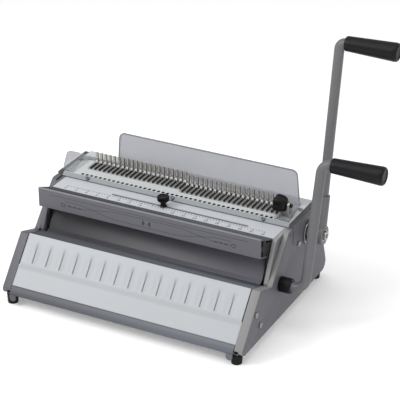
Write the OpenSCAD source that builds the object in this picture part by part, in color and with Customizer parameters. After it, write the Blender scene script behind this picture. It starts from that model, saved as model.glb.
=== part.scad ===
// Wire comb machine: a punch with 42 selectors and a closing bar, in millimetres.
// X runs to the right, Y to the back, Z up. The model is drawn about its own middle and
// moved at the end, so that the middle of its outside box stands on the origin.

/* [Body] */
// Distance from the last punch hole to the outer face of a side panel
side_room = 43.13; // [43:0.01:44]
// Thickness of the side panel sheet
panel_t = 2.5; // [1.5:0.5:3]
// Height of the rubber feet
foot_h = 16; // [8:1:19]
// Width of the turned-in flanges
flange_w = 8.2; // [6:0.1:8.2]
// Width of the flange along the front slope
front_flange_w = 14.7; // [12:0.1:14.7]
// Thickness of the inner side frames
frame_t = 6.8; // [5:0.1:6.8]
// Clearance between a flange of a side panel and the inner side frame
frame_gap = 0.5; // [0.2:0.1:1]
// Thickness of the base plate
base_t = 2; // [1:0.5:2]
// Radius of the rubber feet
foot_r = 9.5; // [6:0.5:10]

/* [Cover] */
// Thickness of the front cover sheet
cover_t = 3; // [2.5:0.1:3]
// Number of flutes in the front cover
flute_n = 15; // [5:1:15]
// Distance between flutes
flute_pitch = 25.4; // [20:0.1:25.6]
// Half width of a flute at its open end
flute_r = 2.1; // [1:0.1:2.4]

/* [Punch row] */
// Number of punch holes, pins and selectors
hole_n = 42; // [42:1:42]
// Distance between punch holes
hole_pitch = 8.4667; // [8:0.0001:8.5]
// Diameter of the view holes in the deck
hole_d = 3.6; // [3.5:0.1:4]
// Diameter of a punch pin
pin_d = 3.4; // [3:0.1:3.4]
// Thickness of the deck sheet
deck_t = 2; // [1:0.5:2]
// Height of a selector finger above the deck
finger_h = 20; // [12:1:26]
// Width of a selector finger
finger_w = 4.2; // [3:0.1:4.6]
// Travel of a selector
select_travel = 8; // [4:0.5:8]
// Lift of the press beam over the whole lever stroke
punch_lift = 6; // [3:0.5:6]

/* [Closing] */
// Travel of the closing bar
close_travel = 20; // [10:1:20]
// Height of the closing bar's front face
bar_h = 33; // [31:1:33]
// Thickness of the closing bar's walls
bar_t = 2.5; // [1.5:0.5:2.5]

/* [Levers] */
// Outside diameter of the lever tubes
tube_d = 16; // [12:1:16]
// Length of the closing lever from its axis to its grip
closing_len = 202.8; // [120:0.1:240]
// Lean of the closing lever to the back, degrees
closing_lean = 14.9; // [5:0.1:20]
// Length of the punch lever from its axis to its grip
punch_len = 314.7; // [200:0.1:360]
// Lean of the punch lever to the back, degrees
punch_lean = 9.9; // [5:0.1:15]
// Length of a lever grip
grip_len = 87; // [60:1:110]
// Greatest diameter of a lever grip
grip_d = 30; // [26:1:34]

/* [Shield] */
// Thickness of the clear shield
shield_t = 3; // [2:0.5:3]
// Height of the clear shield above the deck
shield_h = 61; // [40:1:80]

/* [Knobs] */
// Diameter of the side-stop knob
stop_knob_d = 20; // [16:1:24]
// Diameter of the size knob
size_knob_d = 30; // [26:1:32]

/* [Hidden] */
$fn = 48;
gap = 0.05;
tiny = 0.01;
row_w = (hole_n - 1) * hole_pitch;
out_x = row_w / 2 + side_room;
in_x = out_x - panel_t;
flange_x = out_x - flange_w;
front_flange_x = out_x - front_flange_w;
frame_x = flange_x - frame_gap;
cheek_x = frame_x - frame_t;
side_gap = 1;
cover_x = cheek_x - side_gap;
// Heights inside the body are counted from its own zero line, body_lift below its underside
body_lift = 19;
base_z = body_lift + base_t;
deck_z = 162;
row_y = 176.4;
size_len = 20;
size_at = [row_w / 2 + size_len / 2 + 0.43, row_y + 13.6, deck_z + 20.6];

// Side profile of the body as Y, Z corners and their radii
panel_pts = [[-23, body_lift], [48, 104], [88.5, 90], [149.5, 158], [166.2, 158],
  [166.2, 161.5], [262, 161.5], [311, body_lift]];
panel_rad = [8, 4, 6, 10, 0, 3, 10, 14];
// Side profile of the inner side frames
cheek_pts = [[91.5, base_z], [91.5, 92], [121, 154], [172.6, 155.5], [172.9, deck_z - deck_t],
  [258, deck_z - deck_t], [288, 66], [288, base_z]];
cheek_rad = [0, 3, 5, 0, 0, 4, 8, 0];

// Front slope: its foot, its direction and its inward normal
toe = [-18, 25];
slope_len = norm([48, 104] - toe);
slope_u = ([48, 104] - toe) / slope_len;
slope_m = [slope_u[1], -slope_u[0]];
slope_a = atan2(slope_u[1], slope_u[0]);
function sp(s, n) = toe + s * slope_u + n * slope_m;
// Ledge behind the slope
ledge_end = [88.5, 90];
ledge_u = (ledge_end - [48, 104]) / norm(ledge_end - [48, 104]);
ledge_m = [ledge_u[1], -ledge_u[0]];
ledge_t = 2.5;
// Recess line: its foot, its direction and its normal to the back
rec_0 = [99, 92];
rec_a = 63.43;
rec_d = [cos(rec_a), sin(rec_a)];
rec_m = [rec_d[1], -rec_d[0]];
rec_t = 1.5;
function rp(s, n) = rec_0 + s * rec_d + n * rec_m;

// Closing mechanism
clo_y = 122;
clo_z = 80;
clo_half = 35;
clo_r = close_travel / 2 / sin(clo_half);
clo_s = ([clo_y, clo_z] - rec_0) * rec_d;
clo_n = ([clo_y, clo_z] - rec_0) * rec_m;
arm_t = 4;
arm_x0 = cover_x - arm_t;
arm_x1 = cover_x;
recess_x = arm_x0 - 1.2;
crank_x0 = recess_x - 5;
guide_n = 14;
guide_s = [36, 60];
guide_r = 4;

// Punch mechanism
pun_y = 225;
pun_z = 124;
pun_r = 10;
ecc_r = 17;
ecc_half = 37.5;
ecc_e = punch_lift / 2 / sin(ecc_half);
ecc_x = 0.69 * row_w / 2;
beam_y0 = 168;
beam_y1 = 185;
beam_z0 = 98;
beam_z1 = 106.5;
key_z1 = 114;
tip_z = 153.6;
guide_z0 = 128;
guide_z1 = 153;
die_z0 = 157;
post_r = 6;
beam_x = recess_x - 0.8;
post_x = beam_x - post_r - 2.2;

// Selector row
sel_n = hole_n / 6;
fwd_y = 189;
rod_len = 29;
rod_r = 1.9;

// Bar
bar_y = 80;
bar_z1 = 173;
bar_z0 = bar_z1 - bar_h;
strip_y0 = 84;
strip_z0 = 172.9;
strip_y1 = 123;
strip_z1 = 156;
strip_m = (strip_z1 - strip_z0) / (strip_y1 - strip_y0);
strip_t = 3.2;
flg_m = -8 / 22;
function strip_under(y) = strip_z0 - strip_t + (y - strip_y0) * strip_m;
function flange_top(y) = bar_z0 + bar_t * 1.07 + (y - bar_y) * flg_m;

// Levers
closing_x = out_x + 41.3;
closing_bend = 18;
closing_top = 15;
punch_x = out_x + 20.3;
punch_top = 10;
tube_r = tube_d / 2;
bush_x = out_x + 19.3;

// Shield
wing_out = 26.3;
wing_x = out_x + wing_out;

// Middle of the outside box
grip_end_x = closing_x + closing_top + 1 + grip_len;
mid_x = (grip_end_x - wing_x) / 2;
body_y = [for (p = rounded(panel_pts, panel_rad)) p[0]];
mid_y = (sp(-1, 0)[0] + max(body_y)) / 2;

// Points of a clockwise polygon with its corners rounded
function turned(p, c, r) = let(
    a = p[0], b = p[1], e = p[2],
    u = (a - b) / norm(a - b), v = (e - b) / norm(e - b),
    half = acos(max(-1, min(1, u * v))) / 2,
    t = r / tan(half), w = (u + v) / norm(u + v), m = b + w * r / sin(half),
    p0 = b + u * t - m, p1 = b + v * t - m,
    a0 = atan2(p0[1], p0[0]), d0 = atan2(p1[1], p1[0]) - a0,
    d = d0 > 180 ? d0 - 360 : (d0 < -180 ? d0 + 360 : d0))
  [for (i = [0 : c]) m + r * [cos(a0 + d * i / c), sin(a0 + d * i / c)]];
function rounded(pts, rad) = [for (i = [0 : len(pts) - 1])
  for (q = rad[i] < tiny ? [pts[i]] : turned(
    [pts[(i + len(pts) - 1) % len(pts)], pts[i], pts[(i + 1) % len(pts)]], 5, rad[i])) q];
// Corners of a clockwise polygon moved inward
function right_of(a, b) = [b[1] - a[1], a[0] - b[0]] / norm(b - a);
function moved_in(pts, t) = [for (i = [0 : len(pts) - 1]) let(
    n = len(pts), m0 = right_of(pts[(i + n - 1) % n], pts[i]),
    m1 = right_of(pts[i], pts[(i + 1) % n]))
  pts[i] + t * (m0 + m1) / (1 + m0 * m1)];

// Extrusion along X of a side profile
module yz(x0, x1) {
  translate([x0, 0, 0]) rotate([90, 0, 90]) linear_extrude(x1 - x0) children();
}
// Round bar along X
module xrod(x0, x1, y, z, r) {
  translate([x0, y, z]) rotate([0, 90, 0]) cylinder(h = x1 - x0, r = r);
}
// Round bar along Y
module yrod(x, y0, y1, z, r) {
  translate([x, y0, z]) rotate([-90, 0, 0]) cylinder(h = y1 - y0, r = r);
}
// Box from its low and high corners
module box(a, b) {
  translate(a) cube(b - a);
}
// Square-ended slot along the recess line
module guide_slot(x0, x1, s0, s1, n, r) {
  yz(x0, x1) polygon([rp(s0 - r, n - r), rp(s1 + r, n - r), rp(s1 + r, n + r), rp(s0 - r, n + r)]);
}
// The finished part stands about the origin
module placed() {
  translate([-mid_x, -mid_y, foot_h - body_lift]) children();
}

// ---- Body ----
slit_y = 165;
slit_w = 2.6;
slit_z = 128;
peep_y = 151.2;
peep_z = 150;
peep_w = 3.8;
module panel_solid(with_shafts) {
  inner_rad = [for (i = [0 : len(panel_rad) - 1])
    i == 2 ? panel_rad[i] + panel_t : max(0, panel_rad[i] - panel_t)];
  difference() {
    union() {
      yz(flange_x, out_x) polygon(rounded(panel_pts, panel_rad));
      intersection() {
        yz(front_flange_x, flange_x) polygon(rounded(panel_pts, panel_rad));
        box([front_flange_x - 1, -40, 27], [flange_x, 84, 120]);
      }
    }
    yz(front_flange_x - 1, in_x) polygon(rounded(moved_in(panel_pts, panel_t), inner_rad));
    // Slit below the step of the top edge
    box([flange_x - 1, slit_y, slit_z], [out_x + 1, slit_y + slit_w, deck_z]);
    box([in_x - 1, peep_y, peep_z], [out_x + 1, peep_y + peep_w, peep_z + peep_w]);
    for (p = screw_at) xrod(in_x - 1, out_x + 1, p[0], p[1], screw_r);
    if (with_shafts) {
      xrod(in_x - 1, out_x + 1, pun_y, pun_z, ecc_r - 1);
      xrod(in_x - 1, out_x + 1, clo_y, clo_z, tube_r + gap);
    }
  }
}
screw_at = [[31, 70.5], [47, 45], [188, 120]];
screw_r = 2.5;

module right_side_panel() {
  color("dimgray") placed() panel_solid(true);
}
module left_side_panel() {
  color("dimgray") placed() mirror([1, 0, 0]) panel_solid(false);
}

slot_end = 0.5;
slot_gap = 0.1;
module cheek_solid() {
  difference() {
    yz(cheek_x, frame_x) polygon(rounded(cheek_pts, cheek_rad));
    xrod(cheek_x - 1, frame_x + 1, pun_y, pun_z, pun_r + gap);
    xrod(cheek_x - 1, frame_x + 1, clo_y, clo_z, tube_r + gap);
    guide_slot(cheek_x - 1, frame_x + 1, guide_s[0] - close_travel - slot_end,
      guide_s[1] + slot_end, guide_n, guide_r + slot_gap);
  }
}
module right_frame() {
  color("gray") placed() cheek_solid();
}
module left_frame() {
  color("gray") placed() mirror([1, 0, 0]) cheek_solid();
}

base_y0 = -12;
base_y1 = 298;
vent_y = [60, 230];
vent_r = 10;
module base_plate() {
  color("gray") placed() difference() {
    box([-frame_x, base_y0, body_lift], [frame_x, base_y1, base_z]);
    for (x = [-ecc_x, 0, ecc_x], y = vent_y)
      translate([x, y, body_lift - 1]) cylinder(h = base_t + 2, r = vent_r);
  }
}

// Flutes are shallow cone cuts that fade out towards the top
flute_s0 = 52;
flute_s1 = 84;
cover_s0 = 13.7;
cover_s1 = 103.5;
fold_s = 50;
fold_set = 0.6;
flute_shift = 1.5;
flute_tip = 0.05;
module slope_band(x, s0, s1, n0, n1) {
  yz(-x, x) polygon([sp(s0, n0), sp(s1, n0), sp(s1, n1), sp(s0, n1)]);
}
module front_cover() {
  color("white") placed() difference() {
    union() {
      slope_band(front_flange_x, cover_s0, fold_s, 0, cover_t);
      slope_band(cover_x, fold_s - 1, cover_s1, fold_set, cover_t + fold_set);
    }
    for (i = [0 : flute_n - 1])
      translate([(i - (flute_n - 1) / 2) * flute_pitch - flute_shift, sp(flute_s0, fold_set)[0],
        sp(flute_s0, fold_set)[1]]) rotate([slope_a - 90, 0, 0])
        cylinder(h = flute_s1 - flute_s0, r1 = flute_r, r2 = flute_tip);
  }
}

rail_s1 = 13;
rail_leg_y = 4;
rail_x = cheek_x - 0.2;
lug_w = 11;
lug_x = rail_x - lug_w;
lug_at = [-16.6, 17];
lug_t = 2;
lug_h = 6.4;
rail_s0 = 2;
rail_toe = 3.9;
module front_rail() {
  color("slategray") placed() {
    yz(-rail_x, rail_x) polygon([sp(-1, 0), sp(rail_s1, 0), sp(rail_s1, cover_t),
      sp(rail_s0, cover_t), [rail_leg_y, sp(rail_s0, cover_t)[1]], [rail_leg_y, base_z],
      [base_y0 - rail_toe, base_z], sp(-1, cover_t)]);
    for (k = [-1, 1]) translate([k * (lug_x + lug_w / 2), lug_at[0], lug_at[1]])
      rotate([90, 0, 0]) {
      cylinder(h = lug_t, r = lug_w / 2);
      translate([-lug_w / 2, 0, 0]) cube([lug_w, lug_h, lug_t]);
    }
  }
}

ledge_x = cheek_x - 0.3;
lip_n = 3.6;
ledge_s0 = 90;
ledge_s1 = 97;
module tray_ledge() {
  b = sp(cover_s1, lip_n);
  e = ledge_end + ledge_t * ledge_m;
  turn = e - ledge_u * ((e - toe) * slope_m - lip_n - ledge_t) / (ledge_u * slope_m);
  color("slategray") placed() {
    yz(-ledge_x, ledge_x)
      polygon([sp(ledge_s0, lip_n), b, ledge_end, e, turn, sp(ledge_s0, lip_n + ledge_t)]);
    yz(-in_x, in_x) polygon([sp(ledge_s0, lip_n), sp(ledge_s1, lip_n), sp(ledge_s1, lip_n + ledge_t),
      sp(ledge_s0, lip_n + ledge_t)]);
  }
}

hem_l = 13;
hem_turn = [0.5, -2.2];
module recess_plate() {
  a = ledge_end + ledge_t * ledge_m - hem_l * ledge_u;
  b = ledge_end + ledge_t * ledge_m;
  s1 = (guide_z1 - rec_0[1]) / rec_d[1];
  s2 = (guide_z1 - rec_0[1] - rec_t * rec_m[1]) / rec_d[1];
  color("dimgray") placed() yz(-recess_x, recess_x) polygon([a, b, rec_0, rp(s1, 0),
    rp(s2, rec_t), rp(-1, rec_t), b + hem_turn, a + rec_t * ledge_m]);
}

feed_z0 = 153;
feed_z1 = 155;
feed_y0 = 125;
feed_y1 = 186;
stop_y = 145;
stop_x0 = -97;
stop_x1 = 146;
stop_slot = 5;
module hole_row(z0, z1, r) {
  for (i = [0 : hole_n - 1]) translate([(i - (hole_n - 1) / 2) * hole_pitch, row_y, z0])
    cylinder(h = z1 - z0, r = r);
}
module feed_plate() {
  color("white") placed() difference() {
    box([-cheek_x, feed_y0, feed_z0], [cheek_x, feed_y1, feed_z1]);
    box([stop_x0, stop_y - stop_slot / 2, feed_z0 - 1],
      [stop_x1, stop_y + stop_slot / 2, feed_z1 + 1]);
    for (x = [stop_x0, stop_x1]) translate([x, stop_y, feed_z0 - 1])
      cylinder(h = feed_z1 - feed_z0 + 2, r = stop_slot / 2);
    hole_row(feed_z0 - 1, feed_z1 + 1, pin_d / 2 + gap);
  }
}

deck_z0 = deck_z - deck_t;
deck_y1 = 261.5;
lip_top = [172, deck_z];
lip_end = [166.2, die_z0];
lip_a = atan2(lip_top[1] - lip_end[1], lip_top[0] - lip_end[0]);
module deck() {
  color("white") placed() difference() {
    yz(-frame_x, frame_x) polygon([lip_end, lip_top, [deck_y1, deck_z], [deck_y1, deck_z0],
      [lip_top[0] + 0.7, deck_z0], [lip_end[0] + 3, die_z0]]);
    hole_row(deck_z0 - 1, deck_z + 1, hole_d / 2);
    for (i = [0 : hole_n - 1])
      box([(i - (hole_n - 1) / 2) * hole_pitch - leg_w / 2 - 0.2, fwd_y + 17.5, deck_z0 - 1],
        [(i - (hole_n - 1) / 2) * hole_pitch + leg_w / 2 + 0.2,
        fwd_y + 21.5 + select_travel, deck_z + 1]);
  }
}

die_y0 = 173.2;
die_y1 = 187;
die_x = post_x - 1;
module die_bar() {
  color("silver") placed() difference() {
    box([-die_x, die_y0, die_z0], [die_x, die_y1, deck_z0]);
    hole_row(die_z0 - 1, deck_z0 + 1, pin_d / 2 + gap);
  }
}
module punch_guide() {
  color("silver") placed() difference() {
    box([-cheek_x, beam_y0, guide_z0], [cheek_x, beam_y1, guide_z1]);
    hole_row(guide_z0 - 1, guide_z1 + 1, pin_d / 2 + gap);
  }
}
rear_t = 2.6;
rear_fold = [303.5, 38];
module rear_cover() {
  color("dimgray") placed() yz(-frame_x, frame_x)
    polygon([[deck_y1 - rear_t, deck_z0], [deck_y1, deck_z0], rear_fold, [base_y1, base_z],
      [base_y1 - rear_t, base_z], rear_fold - [rear_t, -rear_t / 5]]);
}
foot_x = frame_x - 5;
foot_y = [-6, 293];
module feet() {
  color("black") placed() for (k = [-1, 1], y = foot_y)
    translate([k * foot_x, y, body_lift - foot_h]) cylinder(h = foot_h, r1 = foot_r - 1, r2 = foot_r);
}
front_rod_r = [3, 4];
spacer_r = 6;
end_l = 9;
bar_r = 5;
bar_at = [[110, 40], [275, 50]];
module tie_rods() {
  color("silver") placed() {
    for (i = [0, 1]) difference() {
      xrod(-in_x, in_x, screw_at[i][0], screw_at[i][1], front_rod_r[i]);
      for (k = [-1, 1])
        xrod(k * in_x - end_l, k * in_x + end_l, screw_at[i][0], screw_at[i][1], screw_r);
    }
    for (k = [0, 1]) mirror([k, 0, 0]) difference() {
      xrod(frame_x, in_x, screw_at[2][0], screw_at[2][1], spacer_r);
      xrod(frame_x - 1, in_x + 1, screw_at[2][0], screw_at[2][1], screw_r);
    }
    for (p = bar_at) xrod(-cheek_x, cheek_x, p[0], p[1], bar_r);
  }
}
head_t = 2.2;
head_r = 4.2;
drive_r = 1.6;
module panel_screws() {
  color("silver") placed() for (k = [0, 1]) mirror([k, 0, 0]) for (i = [0 : 2])
    difference() {
      union() {
        xrod(out_x, out_x + head_t, screw_at[i][0], screw_at[i][1], head_r);
        xrod(i == 2 ? frame_x : in_x - end_l, out_x + 1, screw_at[i][0], screw_at[i][1], screw_r);
      }
      xrod(out_x + 1, out_x + head_t + 1, screw_at[i][0], screw_at[i][1], drive_r);
    }
}
ring_t = 3;
ring_w = 3;
module hub_ring() {
  color("silver") placed() difference() {
    xrod(out_x, out_x + ring_t, pun_y, pun_z, ecc_r + ring_w);
    xrod(out_x - 1, out_x + ring_t + 1, pun_y, pun_z, ecc_r - 1);
  }
}
bush_r = 12.5;
module closing_bush() {
  color("black") placed() difference() {
    xrod(out_x, bush_x, clo_y, clo_z, bush_r);
    xrod(out_x - 1, bush_x + 1, clo_y, clo_z, tube_r + gap);
  }
}

// ---- Shield ----
shield_y = 233;
foot_z = deck_z + shield_t;
strip_front = shield_y - 4;
strip_back = shield_y + shield_t + 5;
tab_y = 173.5;
wing_in = 6.2;
wing_r = 7;
row_room = row_w / 2 + 6.4;
left_room = row_room + 10;
shield_l = frame_x - 70;
shield_r = frame_x - 11;
tab_end = frame_x - 2;
module shield_plan() {
  polygon(rounded([[-wing_x, strip_back], [wing_in - out_x, tab_y], [-left_room, tab_y],
    [-left_room, strip_front], [row_room, strip_front], [row_room, tab_y], [tab_end, tab_y],
    [shield_r, strip_back]], [wing_r, 0, 0, 0, 0, 0, 0, 0]));
}
foot_screw_x = frame_x - 4;
foot_screw_y = 221;
shield_screw_at = [[-foot_screw_x, foot_screw_y], [row_room + 7, size_at[1]]];
module acrylic_shield() {
  color("lightgray") placed() difference() {
    union() {
      translate([0, 0, deck_z]) linear_extrude(shield_t) shield_plan();
      translate([0, shield_y + shield_t, 0]) rotate([90, 0, 0]) linear_extrude(shield_t)
        polygon(rounded([[-shield_l, deck_z + 1], [4 - shield_l, deck_z + shield_h],
          [shield_r - 6, deck_z + shield_h], [shield_r, deck_z + 1]], [0, 10, 10, 0]));
    }
    for (i = [0, 1]) translate([shield_screw_at[i][0], shield_screw_at[i][1], deck_z - 1])
      cylinder(h = shield_t + 2, r = 2);
  }
}
module head_screw(x, y, z, below) {
  translate([x, y, z]) difference() {
    union() {
      cylinder(h = 2, r = 3.6);
      translate([0, 0, -below]) cylinder(h = below + 1, r = 2);
    }
    translate([0, 0, 1]) cylinder(h = 2, r = 1.4);
  }
}
module shield_screws() {
  color("silver") placed() for (i = [0, 1])
    head_screw(shield_screw_at[i][0], shield_screw_at[i][1], foot_z, shield_t);
}
module deck_screws() {
  color("silver") placed() head_screw(foot_screw_x, foot_screw_y, deck_z, 0);
}
lip_in = [13.6, 10.6];
module lip_screws() {
  color("lightsteelblue") placed() for (x = [lip_in[0] - row_w / 2, 0, row_w / 2 - lip_in[1]])
    translate([x, (lip_top[0] + lip_end[0]) / 2, (lip_top[1] + lip_end[1]) / 2])
      rotate([lip_a, 0, 0]) difference() {
        cylinder(h = 2.4, r = 3.2);
        translate([0, 0, 1.4]) cylinder(h = 2, r = 1.4);
      }
}

// ---- Punch mechanism ----
tap_l = 15;
tap_r = 4;
module punch_shaft() {
  color("silver") placed() difference() {
    xrod(-frame_x, hub_x1, pun_y, pun_z, pun_r);
    xrod(hub_x1 - tap_l, hub_x1 + 1, pun_y, pun_z, tap_r);
  }
}
ecc_t = 10;
module eccentrics() {
  color("silver") placed() for (k = [-1, 1]) difference() {
    xrod(k * ecc_x - ecc_t / 2, k * ecc_x + ecc_t / 2, pun_y + ecc_e * cos(ecc_half),
      pun_z - ecc_e * sin(ecc_half), ecc_r);
    xrod(k * ecc_x - ecc_t, k * ecc_x + ecc_t, pun_y, pun_z, pun_r);
  }
}
win_y = pun_y + ecc_e * (1 + cos(ecc_half)) / 2;
win_z = pun_z - ecc_e * sin(ecc_half);
yoke_w = 12;
yoke_y0 = 205;
yoke_y1 = 254;
yoke_rim = 6;
yoke_play = 1.2;
yoke_gap = 0.15;
module press_beam() {
  color("gray") placed() {
    difference() {
      box([-beam_x, beam_y0, beam_z0], [beam_x, beam_y1, beam_z1]);
      for (k = [-1, 1]) translate([k * post_x, row_y, beam_z0 - 1])
        cylinder(h = beam_z1 - beam_z0 + 2, r = post_r + gap);
    }
    for (k = [-1, 1]) difference() {
      union() {
        box([k * ecc_x - yoke_w / 2, beam_y1 - 1, beam_z0],
          [k * ecc_x + yoke_w / 2, yoke_y0 + 1, beam_z1]);
        box([k * ecc_x - yoke_w / 2, yoke_y0, win_z - ecc_r - yoke_rim],
          [k * ecc_x + yoke_w / 2, yoke_y1, win_z + ecc_r + yoke_rim]);
      }
      box([k * ecc_x - yoke_w, win_y - ecc_r - yoke_play, win_z - ecc_r - yoke_gap],
        [k * ecc_x + yoke_w, win_y + ecc_r + yoke_play, win_z + ecc_r + yoke_gap]);
    }
  }
}
module guide_posts() {
  color("silver") placed() for (k = [-1, 1])
    translate([k * post_x, row_y, base_z]) cylinder(h = guide_z0 - base_z, r = post_r);
}
coil_n = 6;
coil_in = 0.4;
coil_out = 2.6;
coil_valley = 1.4;
module press_springs() {
  h = guide_z0 - beam_z1;
  p = h / coil_n;
  color("silver") placed() for (k = [-1, 1]) translate([k * post_x, row_y, beam_z1])
    rotate_extrude() polygon(concat([[post_r + coil_in, 0]], [for (i = [0 : coil_n - 1])
      each [[post_r + coil_valley, i * p], [post_r + coil_out, (i + 0.5) * p]]],
      [[post_r + coil_valley, h], [post_r + coil_in, h]]));
}
key_w = 4.6;
key_l = 16;
key_ahead = 5;
module drive_keys() {
  color("darkgray") placed() for (i = [0 : hole_n - 1])
    translate([(i - (hole_n - 1) / 2) * hole_pitch - key_w / 2,
      (i < hole_n / 2 ? select_travel : 0) + row_y - key_ahead, beam_z1])
      cube([key_w, key_l, key_z1 - beam_z1]);
}
pin_head = 2;
module pins(a, b) {
  for (i = [a : b]) translate([(i - (hole_n - 1) / 2) * hole_pitch, row_y, key_z1]) {
    cylinder(h = pin_head, r = pin_d / 2 + 1);
    cylinder(h = tip_z - key_z1, r = pin_d / 2);
  }
}
module driven_pins() {
  color("silver") placed() pins(hole_n / 2, hole_n - 1);
}
module idle_pins() {
  color("silver") placed() pins(0, hole_n / 2 - 1);
}

// ---- Selectors ----
leg_w = 2;
leg_y = 18.4;
leg_end_z = 120.6;
leg_y0 = -0.4;
leg_y1 = 2.6;
leg_web = 3;
foot_web = 4;
finger_t = 2;
finger_bend = [7, 3.6, 2.2];
finger_rise = [2.6, 6];
module selector(x, y) {
  z = deck_z + rod_r + 0.1;
  top = deck_z + finger_h;
  end = y + rod_len;
  translate([x, 0, 0]) {
    yrod(0, y, y + rod_len, z, rod_r);
    yz(-finger_w / 2, finger_w / 2) polygon([[end - finger_bend[0], z],
      [end - finger_bend[1], z + finger_rise[0]], [end - finger_bend[2], z + finger_rise[1]],
      [end - finger_t, top - finger_w / 2], [end, top - finger_w / 2], [end, z]]);
    yrod(0, end - finger_t, end, top - finger_w / 2, finger_w / 2);
    yz(-leg_w / 2, leg_w / 2) polygon([[y + leg_y0, leg_end_z],
      [y + leg_y0, feed_z0 + leg_web], [y + leg_y, feed_z0 + leg_web], [y + leg_y, z],
      [y + leg_y + leg_web, z], [y + leg_y + leg_web, feed_z0 + leg_web - foot_web],
      [y + leg_y1, feed_z0 + leg_web - foot_web], [y + leg_y1, leg_end_z]]);
  }
}
module selector_row(k) {
  color("tan") placed() for (i = [k * sel_n : (k + 1) * sel_n - 1])
    selector((i - (hole_n - 1) / 2) * hole_pitch, fwd_y + (k < 3 ? select_travel : 0));
}
module selector_row_1() {
  selector_row(0);
}
module selector_row_2() {
  selector_row(1);
}
module selector_row_3() {
  selector_row(2);
}
module selector_row_4() {
  selector_row(3);
}
module selector_row_5() {
  selector_row(4);
}
module selector_row_6() {
  selector_row(5);
}

// ---- Levers ----
// A tube that stands up from the origin and bends over to +X at its top
module bent_tube(z0, len, bend, run, wall) {
  translate([0, 0, z0]) ring_bar(len - bend - z0, wall);
  translate([bend, 0, len - bend]) rotate([90, 0, 0]) rotate([0, 0, 90])
    rotate_extrude(angle = 90) translate([bend, 0]) ring_face(wall);
  translate([bend, 0, len]) rotate([0, 90, 0]) ring_bar(run, wall);
}
module ring_face(wall) {
  difference() {
    circle(r = tube_r);
    circle(r = tube_r - wall);
  }
}
module ring_bar(len, wall) {
  difference() {
    cylinder(h = len, r = tube_r);
    translate([0, 0, -1]) cylinder(h = len + 2, r = tube_r - wall);
  }
}
// A grip along +X from the origin, with its bore and its recessed end
grip_small = grip_d - 6;
module grip() {
  r0 = grip_small / 2;
  r1 = grip_d / 2;
  c = 2;
  rotate([0, 90, 0]) rotate_extrude() polygon([[tube_r, 0], [r0 - c, 0], [r0 - 0.6, 0.6],
    [r0, c], [r1 - 0.2, grip_len - 9], [r1, grip_len - 6], [r1 - 0.6, grip_len - 2],
    [r1 - c, grip_len - 0.4], [r1 - c - 1, grip_len], [r1 - 4.4, grip_len],
    [r1 - 5, grip_len - 1.2], [0, grip_len - 1.2], [0, grip_len - 8], [tube_r, grip_len - 8]]);
}
hub_x0 = out_x + 5.3;
hub_w = 24;
hub_x1 = hub_x0 + hub_w;
socket_r = 10.5;
socket_len = 66;
tube_in = 30;
wall = 1.5;
module at_punch() {
  placed() translate([0, pun_y, pun_z]) rotate([-punch_lean, 0, 0]) children();
}
module at_closing() {
  placed() translate([0, clo_y, clo_z]) rotate([-closing_lean, 0, 0]) children();
}
module lever_hub() {
  color("gray") at_punch() difference() {
    union() {
      xrod(hub_x0, hub_x1, 0, 0, ecc_r - 1);
      translate([punch_x, 0, 0]) cylinder(h = socket_len, r = socket_r);
    }
    xrod(hub_x0 - 1, punch_x + tap_l, 0, 0, pun_r);
    translate([punch_x, 0, tube_in]) cylinder(h = socket_len, r = tube_r);
  }
}
bolt_t = 3.5;
bolt_r = 8;
hex_l = 2;
hex_r = 4;
module hub_bolt() {
  color("silver") at_punch() difference() {
    union() {
      xrod(hub_x1 - tap_l, hub_x1 + 1, 0, 0, tap_r);
      xrod(hub_x1, hub_x1 + bolt_t, 0, 0, bolt_r);
    }
    translate([hub_x1 + bolt_t - hex_l, 0, 0]) rotate([0, 90, 0])
      cylinder(h = hex_l + 1, r = hex_r, $fn = 6);
  }
}
module punch_lever_tube() {
  color("gray") at_punch() translate([punch_x, 0, 0])
    bent_tube(tube_in, punch_len, punch_top, grip_len - 8, wall);
}
module punch_grip() {
  color("black") at_punch() translate([punch_x + punch_top, 0, punch_len]) grip();
}
closing_x0 = out_x - 2.7;
module closing_shaft() {
  color("silver") placed() xrod(-frame_x + 1, closing_x0, clo_y, clo_z, tube_r);
}
module closing_lever_tube() {
  color("gray") at_closing() {
    translate([closing_x0, 0, 0]) rotate([0, 90, 0])
      ring_bar(closing_x - closing_bend - closing_x0, wall);
    translate([closing_x - closing_bend, 0, closing_bend]) rotate([90, 0, 0])
      rotate([0, 0, -90]) rotate_extrude(angle = 90) translate([closing_bend, 0])
      ring_face(wall);
    translate([closing_x, 0, 0])
      bent_tube(closing_bend, closing_len, closing_top, grip_len - 7, wall);
  }
}
module closing_grip() {
  color("black") at_closing() translate([closing_x + closing_top + 1, 0, closing_len]) grip();
}
web_r = 5.5;
boss_r = 12;
tip_r = 6;
module closing_cranks() {
  a = rec_a + 180 - 90;
  color("gray") placed() for (k = [0, 1]) mirror([k, 0, 0]) {
    p = [clo_y, clo_z] + clo_r * (sin(clo_half) * rec_d - cos(clo_half) * rec_m);
    v = (p - [clo_y, clo_z]) / clo_r;
    w = [v[1], -v[0]] * web_r;
    difference() {
      union() {
        xrod(crank_x0, recess_x, clo_y, clo_z, boss_r);
        xrod(crank_x0, recess_x, p[0], p[1], tip_r);
        yz(crank_x0, recess_x) polygon([[clo_y, clo_z] - w, p - w, p + w, [clo_y, clo_z] + w]);
      }
      xrod(crank_x0 - 1, recess_x + 1, clo_y, clo_z, tube_r);
    }
    xrod(recess_x - 1, arm_x1, p[0], p[1], guide_r);
  }
}

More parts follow.
